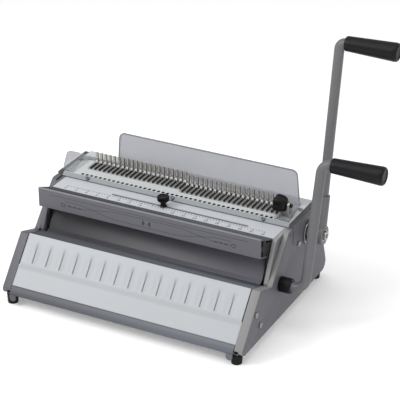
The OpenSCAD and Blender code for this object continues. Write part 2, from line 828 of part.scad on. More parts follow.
// ---- Closing bar ----
bar_chamfer = 0.5;
bar_foot = [22, -8];
bar_foot_end = 22.9;
module closing_bar() {
  top = bar_z1 + bar_chamfer;
  color("dimgray") placed() yz(-cover_x, cover_x) polygon([[bar_y, bar_z0], [bar_y, bar_z1],
    [bar_y + bar_chamfer, top], [strip_y0, top], [strip_y0, top - bar_t],
    [bar_y + bar_t, top - bar_t], [bar_y + bar_t, flange_top(bar_y + bar_t)],
    [bar_y + bar_foot_end, flange_top(bar_y + bar_foot_end)],
    [bar_y + bar_foot[0], bar_z0 + bar_foot[1]]]);
}
strip_bevel = 1.2;
module bar_top_strip() {
  color("dimgray") placed() yz(-cover_x, cover_x) polygon([[strip_y0, strip_z0],
    [strip_y1, strip_z1], [strip_y1 - strip_bevel, strip_under(strip_y1 - strip_bevel)],
    [strip_y0, strip_under(strip_y0)]]);
}
carrier_y0 = 90;
carrier_y1 = 100;
carrier_z = [150, 158];
module bar_carrier() {
  color("black") placed() yz(-cover_x, cover_x) polygon([[bar_y + bar_t, carrier_z[0]],
    [bar_y + bar_t, carrier_z[1]], [carrier_y0, carrier_z[1]],
    [carrier_y0, strip_under(carrier_y0)],
    [carrier_y1, strip_under(carrier_y1)], [carrier_y1, flange_top(carrier_y1)],
    [carrier_y0, flange_top(carrier_y0)], [carrier_y0, carrier_z[0]]]);
}
// Arm corners: top edge as Y, Z, then back edge along the recess line
arm_top = [[carrier_y1, 139], [carrier_y1, carrier_z[1]], [136, 149.5]];
arm_back = [[66, 20], [30, 20], [24, 16.5]];
arm_low = [[carrier_y1 + 4.4, 112], [carrier_y1 + 4.4, 136.5]];
arm_side = 8;
arm_low_n = 1.5;
pin_play = 0.4;
module bar_arms() {
  pin_s = clo_s + close_travel / 2;
  pin_half = guide_r + pin_play;
  n0 = clo_n - clo_r - pin_half;
  color("black") placed() for (k = [0, 1]) mirror([k, 0, 0]) {
    difference() {
      yz(arm_x0, arm_x1) polygon(concat(arm_top, [for (q = arm_back) rp(q[0], q[1])],
        [rp(pin_s - arm_side, arm_back[2][1]), rp(pin_s - arm_side, arm_low_n)], arm_low));
      yz(arm_x0 - 1, arm_x1 + 1) polygon([rp(pin_s - pin_half, n0),
        rp(pin_s - pin_half, arm_back[0][1]), rp(pin_s + pin_half, arm_back[0][1]),
        rp(pin_s + pin_half, n0)]);
    }
    for (s = guide_s) xrod(arm_x1 - 1, frame_x - slot_end, rp(s, guide_n)[0], rp(s, guide_n)[1],
      guide_r);
  }
}

// ---- Knobs and stops ----
stop_x = -4;
stud_r = 2.2;
stud_l = 13;
block = [8, 7, 4];
slide_gap = 0.1;
module side_stop() {
  color("silver") placed() {
    box([stop_x - block[0], stop_y - block[1], feed_z0 - block[2]],
      [stop_x + block[0], stop_y + block[1], feed_z0 - slide_gap]);
    translate([stop_x, stop_y, feed_z0 - 1]) cylinder(h = stud_l, r = stud_r);
  }
}
module stop_knob() {
  r = stop_knob_d / 2;
  color("black") placed() translate([stop_x, stop_y, feed_z1 + slide_gap]) difference() {
    rotate_extrude() polygon([[0, 0], [6, 0], [6, 1.2], [4.6, 2.4], [4.6, 6], [6.4, 8.2],
      [r - 0.8, 10.2], [r, 11.4], [r, 17], [r - 1.2, 18.4], [r - 3, 18.8], [r - 3.6, 17.8],
      [0, 17.8]]);
    translate([0, 0, -1]) cylinder(h = stud_l - 1.8, r = stud_r + gap);
  }
}
shaft_r = 3;
shaft_l = 19;
lobe_n = 5;
lobe_r = 5;
lobe_short = 3;
core_in = [3, 7];
module size_knob() {
  r = size_knob_d / 2;
  color("black") placed() translate(size_at) {
    for (i = [0 : lobe_n - 1]) xrod(-size_len / 2, size_len / 2 - lobe_short,
      (r - lobe_r) * sin(360 * i / lobe_n + 18), (r - lobe_r) * cos(360 * i / lobe_n + 18),
      lobe_r);
    rotate([0, 90, 0]) translate([0, 0, -size_len / 2 - 1])
      cylinder(h = size_len + 1, r1 = r - core_in[0], r2 = r - core_in[1]);
    xrod(0, shaft_l, 0, 0, shaft_r);
  }
}
bracket_x0 = size_at[0] + size_len / 2 + 2;
bracket_t = 4;
bracket_x1 = bracket_x0 + bracket_t;
bracket_r = 5.4;
bracket_foot = 2;
module size_knob_bracket() {
  color("gray") placed() difference() {
    union() {
      box([bracket_x0, size_at[1] - bracket_r, foot_z],
        [bracket_x1, size_at[1] + bracket_r, size_at[2]]);
      xrod(bracket_x0, bracket_x1, size_at[1], size_at[2], bracket_r);
      box([bracket_x0, size_at[1] - bracket_r, foot_z],
        [bracket_x1 + bracket_foot, size_at[1] + bracket_r, foot_z + bracket_foot]);
    }
    xrod(bracket_x0 - 1, bracket_x1 + 1, size_at[1], size_at[2], shaft_r + gap);
  }
}
depth_w = 3.8;
depth_y1 = feed_y1 - 0.2;
module depth_stop() {
  color("silver") placed()
    box([-die_x, depth_y1 - depth_w, feed_z1 + slide_gap], [die_x, depth_y1, die_z0 - slide_gap]);
}

base_plate();
left_side_panel();
right_side_panel();
left_frame();
right_frame();
front_cover();
front_rail();
tray_ledge();
recess_plate();
feed_plate();
deck();
die_bar();
punch_guide();
rear_cover();
acrylic_shield();
shield_screws();
deck_screws();
lip_screws();
panel_screws();
feet();
tie_rods();
hub_ring();
closing_bush();
guide_posts();
press_springs();
punch_shaft();
eccentrics();
lever_hub();
hub_bolt();
punch_lever_tube();
punch_grip();
press_beam();
drive_keys();
driven_pins();
idle_pins();
closing_shaft();
closing_cranks();
closing_lever_tube();
closing_grip();
closing_bar();
bar_top_strip();
bar_carrier();
bar_arms();
selector_row_1();
selector_row_2();
selector_row_3();
selector_row_4();
selector_row_5();
selector_row_6();
side_stop();
stop_knob();
size_knob();
size_knob_bracket();
depth_stop();
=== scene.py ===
"""Looks of a desktop wire comb machine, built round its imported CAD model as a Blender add-on.

Each operator finishes one piece or one group of like pieces. Places are written in the CAD model's
own millimetres, and at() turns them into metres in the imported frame.
"""

import math

import bmesh
import bpy
from mathutils import Euler, Matrix, Vector


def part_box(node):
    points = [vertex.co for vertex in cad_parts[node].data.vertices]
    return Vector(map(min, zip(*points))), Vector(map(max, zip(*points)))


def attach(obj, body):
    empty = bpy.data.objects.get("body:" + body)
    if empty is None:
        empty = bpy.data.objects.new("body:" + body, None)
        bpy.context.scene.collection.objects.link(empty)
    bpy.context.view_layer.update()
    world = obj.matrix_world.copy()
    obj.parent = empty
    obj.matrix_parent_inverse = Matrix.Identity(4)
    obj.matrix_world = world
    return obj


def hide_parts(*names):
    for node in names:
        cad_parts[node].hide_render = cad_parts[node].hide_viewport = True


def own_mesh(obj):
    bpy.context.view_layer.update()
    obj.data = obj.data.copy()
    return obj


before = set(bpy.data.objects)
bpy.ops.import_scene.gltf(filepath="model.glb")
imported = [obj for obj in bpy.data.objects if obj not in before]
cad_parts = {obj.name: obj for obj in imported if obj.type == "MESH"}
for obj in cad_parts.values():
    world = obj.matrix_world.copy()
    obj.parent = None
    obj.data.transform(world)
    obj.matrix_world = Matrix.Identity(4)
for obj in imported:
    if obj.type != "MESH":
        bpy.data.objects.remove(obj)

bl_info = {
    "name": "Wire comb machine",
    "version": (1, 0, 0),
    "blender": (4, 2, 0),
    "location": "View3D > Sidebar > Comb machine",
    "description": "Finishes the pieces of a desktop wire comb machine",
    "category": "Object",
}

MM = 0.001

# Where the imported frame's zero lies in the CAD model's own millimetres
MID_X = 59.0
MID_Y = 143.3617
DROP = 3.0

# Row of punch holes: their number and distance, half the row's length, and its place
HOLES = 42
PITCH = 8.4667
ROW_HALF = HOLES / 2 * PITCH
HOLE_Y = 176.4

# Front slope: its angle, and its foot in y and z
SLOPE = math.radians(50.125)
SLOPE_Y = -18
SLOPE_Z = 25

# Outer faces and tops of the sheets
PANEL_OUT = 216.7
FEED_TOP = 155.0
DECK_TOP = 162.0
COVER_SHEET = 1.6

# Side stop, size knob and the end of the scale on the feed plate
STOP_X = -4
STOP_Y = 145
SIZE_KNOB_AT = (183.997, 190, 182.6)
SCALE_END = 180

# Press springs: radius of the coil and of its wire, and turns
COIL_R = 7.6
WIRE_R = 0.9
WIRE_TURNS = 6.5

# Edges sharper than this many degrees get a soft edge or stay hard
EDGE_ANGLE = 32

# Tints that turn a neutral grey cooler, as factors of red, green and blue
COOL = (0.965, 0.98, 1.0)
VIOLET = (0.98, 0.98, 1.06)
BLUE = (0.96, 0.99, 1.08)
GLASS = (0.97, 0.985, 1.03)


def at(x, y, z):
    """A place given in the CAD model's own millimetres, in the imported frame."""
    return Vector(((x - MID_X) * MM, (y - MID_Y) * MM, (z - DROP) * MM))


def slope_at(x, s, n):
    """A place on the front slope: s up the slope from its foot, n inward from it."""
    y = SLOPE_Y + s * math.cos(SLOPE) + n * math.sin(SLOPE)
    z = SLOPE_Z + s * math.sin(SLOPE) - n * math.cos(SLOPE)
    return at(x, y, z)


# ---- Shader maths ----
def plug(tree, value, socket):
    """Links a node's socket to a value, or gives it a constant."""
    if isinstance(value, Sock):
        tree.links.new(value.out, socket)
    elif isinstance(value, (tuple, list)) and socket.type == "RGBA":
        socket.default_value = (*value[:3], 1.0)
    else:
        socket.default_value = value


def new_node(tree, kind, settings=None, inputs=None):
    """Adds a node: first its settings, then the values or links of its sockets, by name or number."""
    node = tree.nodes.new(kind)
    for key, value in (settings or {}).items():
        setattr(node, key, value)
    for key, value in (inputs or {}).items():
        plug(tree, value, node.inputs[key])
    return node


class Sock:
    """A shader socket that can be used in sums and products."""

    def __init__(self, tree, out):
        self.tree = tree
        self.out = out

    def maths(self, op, *others, flip=False):
        """A Math node on this socket and the others, in reverse order if flipped."""
        values = [self, *others]
        if flip:
            values.reverse()
        node = new_node(self.tree, "ShaderNodeMath", {"operation": op}, dict(enumerate(values)))
        return Sock(self.tree, node.outputs[0])

    def __add__(self, o):
        return self.maths("ADD", o)

    def __radd__(self, o):
        return self.maths("ADD", o, flip=True)

    def __sub__(self, o):
        return self.maths("SUBTRACT", o)

    def __rsub__(self, o):
        return self.maths("SUBTRACT", o, flip=True)

    def __mul__(self, o):
        return self.maths("MULTIPLY", o)

    def __rmul__(self, o):
        return self.maths("MULTIPLY", o, flip=True)

    def abs(self):
        return self.maths("ABSOLUTE")

    def root(self):
        return self.maths("SQRT")

    def at_least(self, value):
        return self.maths("MAXIMUM", value)

    def at_most(self, value):
        return self.maths("MINIMUM", value)

    def clamp(self):
        return self.at_most(1.0).at_least(0.0)

    def wrap(self, step):
        """Distance to the nearest multiple of step."""
        return self.maths("PINGPONG", step / 2)

    def ramp(self, lo, hi):
        """0 at lo, 1 at hi and smooth between. It falls where lo is above hi."""
        node = new_node(self.tree, "ShaderNodeMapRange", {"interpolation_type": "SMOOTHSTEP"},
                        {"Value": self, "From Min": lo, "From Max": hi})
        return Sock(self.tree, node.outputs["Result"])

    def near(self, middle, half, soft=0.15):
        """1 within half of middle, 0 outside, with a soft edge."""
        return 1.0 - (self - middle).abs().ramp(half - soft / 2, half + soft / 2)


class Surface:
    """A material with one principled shader, and the nodes that feed it."""

    def __init__(self, name, **constants):
        self.mat = bpy.data.materials.new(name)
        self.mat.use_nodes = True
        self.tree = self.mat.node_tree
        self.shader = next(n for n in self.tree.nodes if n.type == "BSDF_PRINCIPLED")
        self.place = self.node("ShaderNodeTexCoord", "Object")
        self.x, self.y, self.z = self.parts(self.place)
        # The same, in the CAD model's own millimetres
        self.mx = self.x * 1000 + MID_X
        self.my = self.y * 1000 + MID_Y
        self.mz = self.z * 1000 + DROP
        for key, value in constants.items():
            self.set(key, value)

    def node(self, kind, out=0, settings=None, inputs=None):
        """One output, by name or number, of a new node."""
        return Sock(self.tree, new_node(self.tree, kind, settings, inputs).outputs[out])

    def parts(self, vector):
        """The x, y and z of a vector."""
        node = new_node(self.tree, "ShaderNodeSeparateXYZ", inputs={"Vector": vector})
        return [Sock(self.tree, out) for out in node.outputs]

    def set(self, key, value):
        """Feeds an input of the shader, named with underscores for spaces."""
        plug(self.tree, value, self.shader.inputs[key.replace("_", " ")])

    def facing(self, axis):
        """How squarely the surface faces one axis of the object, from 0 to 1."""
        return self.parts(self.node("ShaderNodeTexCoord", "Normal"))[axis].abs()

    def noise(self, scale, detail=3.0, rough=0.5, place=None):
        """Cloudy noise, at the object's own places if no others are given."""
        return self.node("ShaderNodeTexNoise", inputs={
            "Vector": place or self.place, "Scale": scale, "Detail": detail, "Roughness": rough})

    def mix(self, a, b, factor):
        """Colour a turning into colour b."""
        return self.node("ShaderNodeMix", 2, {"data_type": "RGBA"}, {0: factor, 6: a, 7: b})

    def tint(self, factor, colour):
        """Lays a print of one colour over the base colour."""
        link = self.shader.inputs["Base Color"].links[0]
        self.set("Base Color", self.mix(Sock(self.tree, link.from_socket), colour, factor))

    def bump(self, height, distance):
        self.set("Normal", self.node("ShaderNodeBump", inputs={"Height": height, "Distance": distance}))


def grey(v, tint=(1.0, 1.0, 1.0)):
    """A display grey from 0 to 255, as scene-linear colour."""
    return tuple(((v / 255 * t + 0.055) / 1.055) ** 2.4 for t in tint)


def shade(colour, k):
    """A colour made lighter or darker."""
    return tuple(c * k for c in colour)


# ---- Finishes ----
def paint(name, colour, rough=0.42, wear=1.0):
    """Powder coat: fine orange peel, slight mottling, rubbed patches and a few hairline marks."""
    s = Surface(name, Roughness=rough)
    cloud = s.noise(14, 4, 0.6)
    rub = s.noise(38, 6, 0.7).ramp(0.56, 0.74) * wear
    cells = s.node("ShaderNodeTexVoronoi", "Distance", {"feature": "DISTANCE_TO_EDGE"},
                   {"Vector": s.place, "Scale": 9.0})
    line = (1.0 - cells.ramp(0.0, 0.006)) * s.noise(22, 2).ramp(0.6, 0.72) * wear
    base = s.mix(shade(colour, 0.94), shade(colour, 1.04), cloud)
    base = s.mix(base, shade(colour, 0.82), rub * 0.22)
    s.set("Base Color", s.mix(base, shade(colour, 1.25), line * 0.25))
    s.set("Roughness", rough + cloud * 0.08 - rub * 0.1)
    s.bump(s.noise(1500, 2) * 0.7 + s.noise(420, 2) * 0.5 - line * 0.4, 0.06 * MM)
    return s


def metal(name, colour, rough=0.3, along="x", stain=0.0):
    """Ground or drawn metal with streaks along one axis."""
    s = Surface(name, Metallic=1.0)
    fine, coarse = 900, 6
    kx, ky, kz = (coarse if axis == along else fine for axis in "xyz")
    streaks = s.node("ShaderNodeCombineXYZ", inputs={"X": s.x * kx, "Y": s.y * ky, "Z": s.z * kz})
    grain = s.noise(1.0, 4, 0.6, streaks)
    cloud = s.noise(60, 4, 0.6)
    base = s.mix(shade(colour, 0.8), shade(colour, 1.12), grain)
    s.set("Base Color", s.mix(base, shade(colour, 0.55), cloud.ramp(0.5, 0.75) * stain))
    s.set("Roughness", rough + (grain - 0.5) * 0.25 + cloud * 0.08)
    s.bump(grain, 0.02 * MM)
    return s


def plastic(name, colour, rough=0.38, grain=1.0):
    """Moulded plastic or rubber with a fine grain and fingerprints."""
    s = Surface(name, Specular_IOR_Level=0.22)
    smear = s.noise(70, 5, 0.65)
    s.set("Base Color", s.mix(colour, shade(colour, 1.6), smear.ramp(0.5, 0.8) * 0.5))
    s.set("Roughness", rough + smear.ramp(0.45, 0.75) * 0.16)
    s.bump(s.noise(2600, 3) + s.noise(900, 2) * 0.5, 0.05 * MM * grain)
    return s


# ---- Mesh helpers ----
def soften(obj, width, segments):
    """Rounds the sharp edges by a width in millimetres."""
    bevel = obj.modifiers.new("soft_edges", "BEVEL")
    bevel.width = width * MM
    bevel.segments = segments
    bevel.limit_method = "ANGLE"
    bevel.angle_limit = math.radians(EDGE_ANGLE)
    bevel.harden_normals = True
    bevel.use_clamp_overlap = True


def harden(obj, angle=EDGE_ANGLE):
    """Keeps the edges sharper than an angle in degrees hard."""
    split = obj.modifiers.new("hard_edges", "EDGE_SPLIT")
    split.split_angle = math.radians(angle)


def dress(names, surface, width=0.5, segments=2, smooth=True):
    """Gives CAD nodes their material, and soft edges of a width in millimetres or hard ones."""
    for name in names:
        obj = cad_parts[name]
        obj.data.materials.clear()
        obj.data.materials.append(surface.mat)
        for poly in obj.data.polygons:
            poly.use_smooth = smooth
        weld = obj.modifiers.new("weld", "WELD")
        weld.merge_threshold = 0.002 * MM
        if width:
            soften(obj, width, segments)
        else:
            harden(obj)


def add(name, mesh, surface, body, smooth=False):
    """A piece of its own, which moves with a CAD body unless the body is None."""
    obj = bpy.data.objects.new(name, mesh)
    bpy.context.scene.collection.objects.link(obj)
    mesh.materials.append(surface.mat)
    for poly in mesh.polygons:
        poly.use_smooth = smooth
    if body:
        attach(obj, body)
    return obj


def mesh_of(bm, name):
    """Ends a bmesh as a mesh whose faces point outward."""
    mesh = bpy.data.meshes.new(name)
    bmesh.ops.recalc_face_normals(bm, faces=bm.faces)
    bm.to_mesh(mesh)
    bm.free()
    return mesh


def grid_mesh(name, columns, rows, place):
    """A sheet of quads: place(column, row) gives each corner."""
    bm = bmesh.new()
    verts = [[bm.verts.new(place(c, r)) for c in columns] for r in rows]
    for lower, upper in zip(verts, verts[1:]):
        for i in range(len(columns) - 1):
            bm.faces.new((lower[i], lower[i + 1], upper[i + 1], upper[i]))
    return mesh_of(bm, name)


def join_rings(bm, rings):
    """Skins a row of closed rings of vertices, one after another."""
    for lower, upper in zip(rings, rings[1:]):
        for k in range(len(lower)):
            n = (k + 1) % len(lower)
            bm.faces.new((lower[k], lower[n], upper[n], upper[k]))


def turned_mesh(name, profile, steps, radius):
    """A profile of (radius, height) points turned about Z, closed at both ends.

    radius(r, height, angle) gives the radius at each place from the profile's own.
    """
    bm = bmesh.new()
    rings = []
    for r, h in profile:
        ring = []
        for k in range(steps):
            a = 2 * math.pi * k / steps
            q = radius(r, h, a)
            ring.append(bm.verts.new((q * math.cos(a), q * math.sin(a), h)))
        rings.append(ring)
    join_rings(bm, rings)
    bm.faces.new(list(reversed(rings[0])))
    bm.faces.new(rings[-1])
    return mesh_of(bm, name)


def wind(bm, foot, height, sides=8, steps_a_turn=20, closed=0.12):
    """Adds a coil of wire that stands on foot, with a share of it closed flat at each end."""
    count = int(WIRE_TURNS * steps_a_turn)
    spokes = [2 * math.pi * j / sides for j in range(sides)]
    up = Vector((0, 0, 1))
    rings = []
    for k in range(count + 1):
        a = 2 * math.pi * WIRE_TURNS * k / count
        rise = min(1.0, max(0.0, (k / count - closed) / (1 - 2 * closed)))
        out = Vector((math.cos(a), math.sin(a), 0))
        centre = foot + out * COIL_R * MM + Vector((0, 0, height * rise))
        rings.append([bm.verts.new(centre + (out * math.cos(b) + up * math.sin(b)) * WIRE_R * MM)
                      for b in spokes])
    join_rings(bm, rings)
    bm.faces.new(rings[0])
    bm.faces.new(rings[-1])


def write(bm, text, height, middle):
    """Adds flat raised figures of a height in millimetres, centred on middle."""
    curve = bpy.data.curves.new("figures", "FONT")
    curve.body = text
    curve.size = height * MM * 1.35
    curve.align_x = "CENTER"
    curve.align_y = "CENTER"
    curve.extrude = 0.03 * MM
    curve.resolution_u = 4
    obj = bpy.data.objects.new("figures", curve)
    mesh = bpy.data.meshes.new_from_object(obj)
    mesh.transform(Matrix.Translation(middle))
    bm.from_mesh(mesh)
    bpy.data.objects.remove(obj)
    bpy.data.curves.remove(curve)
    bpy.data.meshes.remove(mesh)


# ---- Front cover ----
# Flutes: number, distance, how far left of the pitch lines they stand, and where they run up the slope
FLUTES = 15
FLUTE_PITCH = 25.4
FLUTE_SHIFT = 1.5
FLUTE_FOOT = 55.5
FLUTE_TOP = 95.0
# Depth of a flute at its deepest, and the part of it that is slack sheet on its left
FLUTE_DEEP = 2.3
FLUTE_SLACK = 0.55
# The fold below the flutes, where the sheet steps inward
FOLD_FOOT = 43.0
FOLD_TOP = 53.0
FOLD_STEP = 1.0
# Above this height up the slope the cover has this half width
NOTCH_FOOT = 49.8
NOTCH_HALF = 200.2
# Columns about the middle of each flute, closest where it drops, and those beside the outer flutes
FLUTE_COLUMNS = (-12.7, -10.5, -9.2, -8, -6.8, -5.5, -4, -2.8, -1.9, -1.3, -0.9, -0.6, -0.3, 0,
                 0.25, 0.5, 0.8, 1.2, 1.8, 2.6, 3.8, 5.4, 7.4, 9.4, 11.4)
LEFT_COLUMNS = (-202.0, -200.5, -196.0)
RIGHT_COLUMNS = (190.0, 196.0, 200.5, 202.0)
# Rows up the slope: below the flutes, along them and above them
FOOT_ROWS = (13.7, 14.2, 20, 28, 36, 41, 43, 44.5, 46, 47.5, 49, 50.5, 52, 53, 54)
FLUTE_ROWS = tuple(54 + 1.4 * k for k in range(1, 31))
TOP_ROWS = (98, 100, 102.6, 103.5)


def smooth(value, lo, hi):
    """0 at lo, 1 at hi and smooth between."""
    t = min(1.0, max(0.0, (value - lo) / (hi - lo)))
    return t * t * (3 - 2 * t)


def flute_depth(x, s):
    """How far a pressed flute lies behind the sheet, in millimetres.

    A flute has slack on its left and then a quick drop. It flares and fades toward its top.
    """
    t = (s - FLUTE_FOOT) / (FLUTE_TOP - FLUTE_FOOT)
    deep = smooth(t, -0.03, 0.06) * (1 - smooth(t, 0.45, 1.0))
    row_half = FLUTE_PITCH * FLUTES / 2
    along = x + FLUTE_SHIFT
    if deep <= 0 or abs(along) > row_half:
        return 0.0
    off = (along + row_half) % FLUTE_PITCH - FLUTE_PITCH / 2
    flare = 5.0 * smooth(t, 0.4, 1.0)
    slack = FLUTE_SLACK * smooth(off, -10.5, -5.5)
    drop = (FLUTE_DEEP - FLUTE_SLACK) * smooth(off, -0.9 - flare, 0.5 + flare * 0.4)
    return deep * (slack + drop) * (1 - smooth(off, 0.6 + flare * 0.4, 11.5))


def pressed_cover():
    """The front cover as one sheet with its fold and its flutes."""
    columns = [(i - (FLUTES - 1) / 2) * FLUTE_PITCH - FLUTE_SHIFT + d
               for i in range(FLUTES) for d in FLUTE_COLUMNS]

    def place(x, s):
        if s > NOTCH_FOOT:
            x = max(-NOTCH_HALF, min(NOTCH_HALF, x))
        step = FOLD_STEP * (1 - smooth(s, FOLD_FOOT, FOLD_TOP))
        return slope_at(x, s, step + flute_depth(x, s))

    return grid_mesh("front_cover_pressed", [*LEFT_COLUMNS, *columns, *RIGHT_COLUMNS],
                     [*FOOT_ROWS, *FLUTE_ROWS, *TOP_ROWS], place)


# ---- Knobs ----
# Outlines as (radius, distance along the axis) in millimetres
STOP_KNOB = ((0.5, 0), (5.6, 0), (6, 0.5), (6, 1.3), (4.7, 2.4), (4.5, 3.4), (4.5, 5.6), (5, 7),
             (6.4, 8.4), (8.6, 9.9), (9.7, 10.8), (10, 11.6), (10, 16.6), (9.8, 17.6), (9.1, 18.4),
             (8, 18.8), (7.1, 18.7), (6.5, 18.0), (6.2, 17.8), (3, 17.6), (0.5, 17.6))
SIZE_KNOB = ((0.4, -10.6), (5, -10.6), (6, -11), (9.5, -11), (11.6, -10.6), (13.2, -9.6), (14.2, -7.8),
             (14.4, -5), (14, 0), (13.1, 4), (11.8, 7), (10, 9), (7.2, 10), (5, 10.2), (4.6, 10.6),
             (4.4, 12), (3, 12.1), (3, 19), (0.4, 19))
KNOB_STEPS = 120


def knurl(r, h, a):
    """Thirty shallow grooves round the rim of the stop knob's head."""
    deep = 0.32
    if 10.5 < h < 18 and r > 9.5:
        return r + deep * abs(math.sin(a * 15)) - deep
    return r


def lobe(r, h, a):
    """Five lobes, which fade toward the axis of the size knob."""
    fade = min(1, max(0, (r - 4) / 6))
    return r * (1 + (0.085 * math.cos(5 * a - 0.6) - 0.05) * fade)


def turned_knob(name, outline, radius, place, surface, body):
    """Turns a knob and stands it in its place."""
    mesh = turned_mesh(name, outline, KNOB_STEPS, radius)
    mesh.transform(place @ Matrix.Scale(MM, 4))
    obj = add(name, mesh, surface, body, smooth=True)
    harden(obj, 40)
    return obj


# ---- Stage ----
# Camera: its place in metres, how far it looks down and turns in degrees, and its lens and sensor
CAMERA_AT = (1.04525, -2.0356, 1.33372)
CAMERA_DOWN = 26.788
CAMERA_TURN = 27.081
LENS = 144.86
SENSOR = 36
# Area lights: name, place, size, power and the place each points at
LIGHTS = (
    ("key", (-1.2, -1.1, 1.6), 0.9, 21, (0, 0, 0.1)),
    ("fill", (1.7, -1.2, 0.9), 1.3, 7, (0, 0, 0.1)),
    ("top", (0.0, -0.3, 2.1), 1.2, 10, (0, 0, 0.1)),
    ("rear", (0.6, 1.9, 1.2), 1.2, 3, (0, 0, 0.15)),
)
SKY_STRENGTH = 0.6
# Half the width of the floor, in metres
FLOOR_HALF = 40


# ---- Settings ----
class CombPaint(bpy.types.PropertyGroup):
    """Levels of the paints, as display greys from 0 to 255."""

    white: bpy.props.FloatProperty(
        name="White level", description="Display grey of the white covers",
        default=182, min=150, max=245)
    panel: bpy.props.FloatProperty(
        name="Side panel level", description="Display grey of the side panels",
        default=93, min=60, max=180)
    lever: bpy.props.FloatProperty(
        name="Lever level", description="Display grey of the lever tubes",
        default=98, min=60, max=180)
    wear: bpy.props.FloatProperty(
        name="Wear", description="Rubbed patches and hairline marks",
        default=1.0, min=0.0, max=2.0, subtype="FACTOR")
    edge: bpy.props.FloatProperty(
        name="Edge radius", description="Soft edge of the painted sheets, in millimetres",
        default=0.6, min=0.1, max=1.2)


class CombMarks(bpy.types.PropertyGroup):
    """Plain marks printed on the feed plate and the closing bar."""

    tick_gap: bpy.props.FloatProperty(
        name="Tick distance", description="Distance of the scale ticks, in millimetres",
        default=5.0, min=2.0, max=20.0)
    tick_width: bpy.props.FloatProperty(
        name="Tick width", description="Width of a scale tick, in millimetres",
        default=1.0, min=0.2, max=1.5)
    number_gap: bpy.props.IntProperty(
        name="Number distance", description="Distance of the scale numbers, in millimetres",
        default=20, min=10, max=50)
    strength: bpy.props.FloatProperty(
        name="Print strength", description="How dark the prints are",
        default=0.95, min=0.0, max=1.0, subtype="FACTOR")


def ready(context, *names):
    """The settings, once the CAD nodes that an operator needs are known to be there."""
    for name in names:
        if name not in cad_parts:
            raise RuntimeError(f"the CAD model has no node {name}")
    return context.scene.comb_paint, context.scene.comb_marks


# ---- Operators ----
class CombPanels(bpy.types.Operator):
    """Paints the side panels, the inner frames and the rear cover."""

    bl_idname = "comb.panels"
    bl_label = "Side panels and rear"

    def execute(self, context):
        skins = ("left_side_panel", "right_side_panel", "rear_cover")
        frames = ("left_frame", "right_frame")
        p, _ = ready(context, *skins, *frames, "base_plate")
        coat = paint("panel_paint", grey(p.panel, VIOLET), 0.5, wear=p.wear)
        # Painted light: the front flanges of the panels are lighter in the right half
        flange_x, flange_y = PANEL_OUT - 0.4, 158.0
        flange_light = (flange_x - coat.mx.abs()).ramp(0, 0.3) * (flange_y - coat.my).ramp(0, 0.5)
        coat.tint(flange_light * coat.mx.ramp(-60, 60), grey(p.panel * 1.4))
        # Painted shade: the top faces are dark
        top_z = 161.0
        coat.tint(coat.mz.ramp(top_z - 0.6, top_z) * 0.75, grey(52))
        dress(skins, coat, p.edge, 3)
        inner = paint("frame_paint", grey(p.panel * 1.1, (1, 1, 1.03)), 0.5, wear=p.wear)
        # Painted light: faces turned to the front, back, top or bottom are lighter in the right half
        edge = (inner.facing(1) * 0.6 + inner.facing(2) * 0.6).ramp(0.3, 0.5)
        inner.tint(edge * inner.mx.ramp(-60, 60), grey(p.panel * 1.55))
        dress(frames, inner, 0.4)
        dress(("base_plate",), metal("base_sheet", grey(150), 0.4, "x", stain=0.3), 0.3)
        return {"FINISHED"}


class CombCover(bpy.types.Operator):
    """Presses the flutes into the front cover and paints the rail, ledge and recess."""

    bl_idname = "comb.cover"
    bl_label = "Front cover, rail and ledge"

    def execute(self, context):
        p, _ = ready(context, "front_cover", "front_rail", "tray_ledge", "recess_plate")
        coat = paint("cover_paint", grey(p.white - 3, COOL), 0.45, wear=p.wear)
        up = (coat.my - SLOPE_Y) * math.cos(SLOPE) + (coat.mz - SLOPE_Z) * math.sin(SLOPE)
        # Painted shade: a dark line in the drop of each flute, fading where the flute flares
        shadow = (0.97, 0.98, 1.0)
        flare_foot, fold_middle = 76.0, 48.5
        flare = up.ramp(flare_foot, FLUTE_TOP)
        line = 1.0 - ((coat.mx + FLUTE_SHIFT).wrap(FLUTE_PITCH) - flare * 2.0).ramp(0.1, 1.3)
        span = up.ramp(FLUTE_FOOT - 0.5, FLUTE_FOOT + 1.5) * (1.0 - flare)
        coat.tint(line * span * coat.mx.near(0, 190, 1) * 0.75, grey(112, shadow))
        # Painted shade: a darker band along the fold below the flutes
        coat.tint(up.near(fold_middle, 5.0, 4.0) * 0.22, grey(150, shadow))
        shell = add("front_cover_pressed", pressed_cover(), coat, "frame", smooth=True)
        skin = shell.modifiers.new("sheet", "SOLIDIFY")
        skin.thickness = COVER_SHEET * MM
        skin.offset = -1.0
        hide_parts("front_cover")
        # Painted shade: the rail, the ledge and the recess are darker toward the left
        rail = paint("rail_paint", grey(96, BLUE), 0.45, wear=p.wear)
        rail.tint(rail.mx.ramp(160.0, -200.0) * 0.6, grey(60, (0.96, 0.99, 1.06)))
        dress(("front_rail", "tray_ledge"), rail, p.edge, 3)
        recess_tint = (0.98, 0.98, 1.05)
        recess = paint("recess_paint", grey(108, recess_tint), 0.45, wear=p.wear)
        recess.tint(recess.mx.ramp(190.0, -200.0) * 0.95, grey(54, recess_tint))
        dress(("recess_plate",), recess, 0.2)
        return {"FINISHED"}


